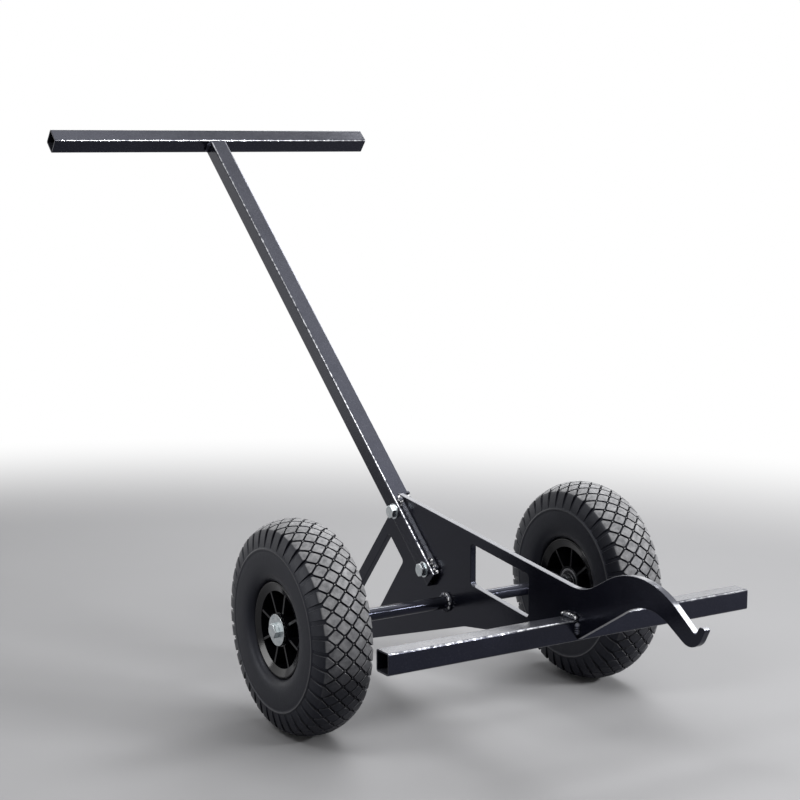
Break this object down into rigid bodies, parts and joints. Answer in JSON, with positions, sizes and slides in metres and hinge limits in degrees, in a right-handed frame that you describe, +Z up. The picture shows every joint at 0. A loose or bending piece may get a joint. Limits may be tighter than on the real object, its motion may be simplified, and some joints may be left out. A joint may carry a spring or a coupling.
{
  "type": "grate lifter cart",
  "caption": "Two-wheeled lever cart that hooks under a floor grate and lifts it: hook plate on an axle, front bar, rear foot and a long T-handle.",
  "frame": {"origin": "on the ground, at the middle of the cart's length and width", "axes": "+Z up, -Y towards the hook, +Y towards the handle, X along the axle, -X is the user's right"},
  "size_m": [0.52, 1.151, 0.7194],
  "materials": {
    "black_coat": "gloss black powder coat on steel",
    "zinc": "bright zinc plating",
    "tyre_rubber": "dull moulded rubber",
    "tube_rubber": "smooth soft rubber",
    "rim_plastic": "moulded black plastic, half gloss",
    "bearing_steel": "ground bearing steel",
    "valve_brass": "dull brass",
    "cap_plastic": "matt black plastic"
  },
  "bodies": {
    "frame": {"hook_plate": "black_coat", "front_bar": "black_coat", "axle": "black_coat", "handle_stem": "black_coat", "handle_crossbar": "black_coat", "bar_welds": "black_coat", "axle_welds": "black_coat", "crossbar_welds": "black_coat", "stem_welds": "black_coat", "handle_bolts": "zinc", "handle_washers": "zinc", "handle_nuts": "zinc", "axle_collars": "zinc", "axle_spacers": "zinc", "axle_washers": "zinc", "axle_bolts": "zinc", "right_bearing_inner_rings": "bearing_steel", "right_hub_sleeve": "zinc", "left_bearing_inner_rings": "bearing_steel", "left_hub_sleeve": "zinc"},
    "right_wheel": {"right_tyre": "tyre_rubber", "right_inner_tube": "tube_rubber", "right_valve_stem": "valve_brass", "right_valve_cap": "cap_plastic", "right_rim": "rim_plastic", "right_bearing_outer_rings": "bearing_steel", "right_bearing_balls": "bearing_steel", "right_bearing_shields": "bearing_steel"},
    "left_wheel": {"left_tyre": "tyre_rubber", "left_inner_tube": "tube_rubber", "left_valve_stem": "valve_brass", "left_valve_cap": "cap_plastic", "left_rim": "rim_plastic", "left_bearing_outer_rings": "bearing_steel", "left_bearing_balls": "bearing_steel", "left_bearing_shields": "bearing_steel"}
  },
  "joints": [
    {"name": "right_wheel_spin", "type": "hinge", "parent": "frame", "child": "right_wheel", "pos_m": [-0.214, -0.09841, 0.13], "axis": [1, 0, 0], "continuous": true},
    {"name": "left_wheel_spin", "type": "hinge", "parent": "frame", "child": "left_wheel", "pos_m": [0.214, -0.09841, 0.13], "axis": [1, 0, 0], "continuous": true}
  ]
}
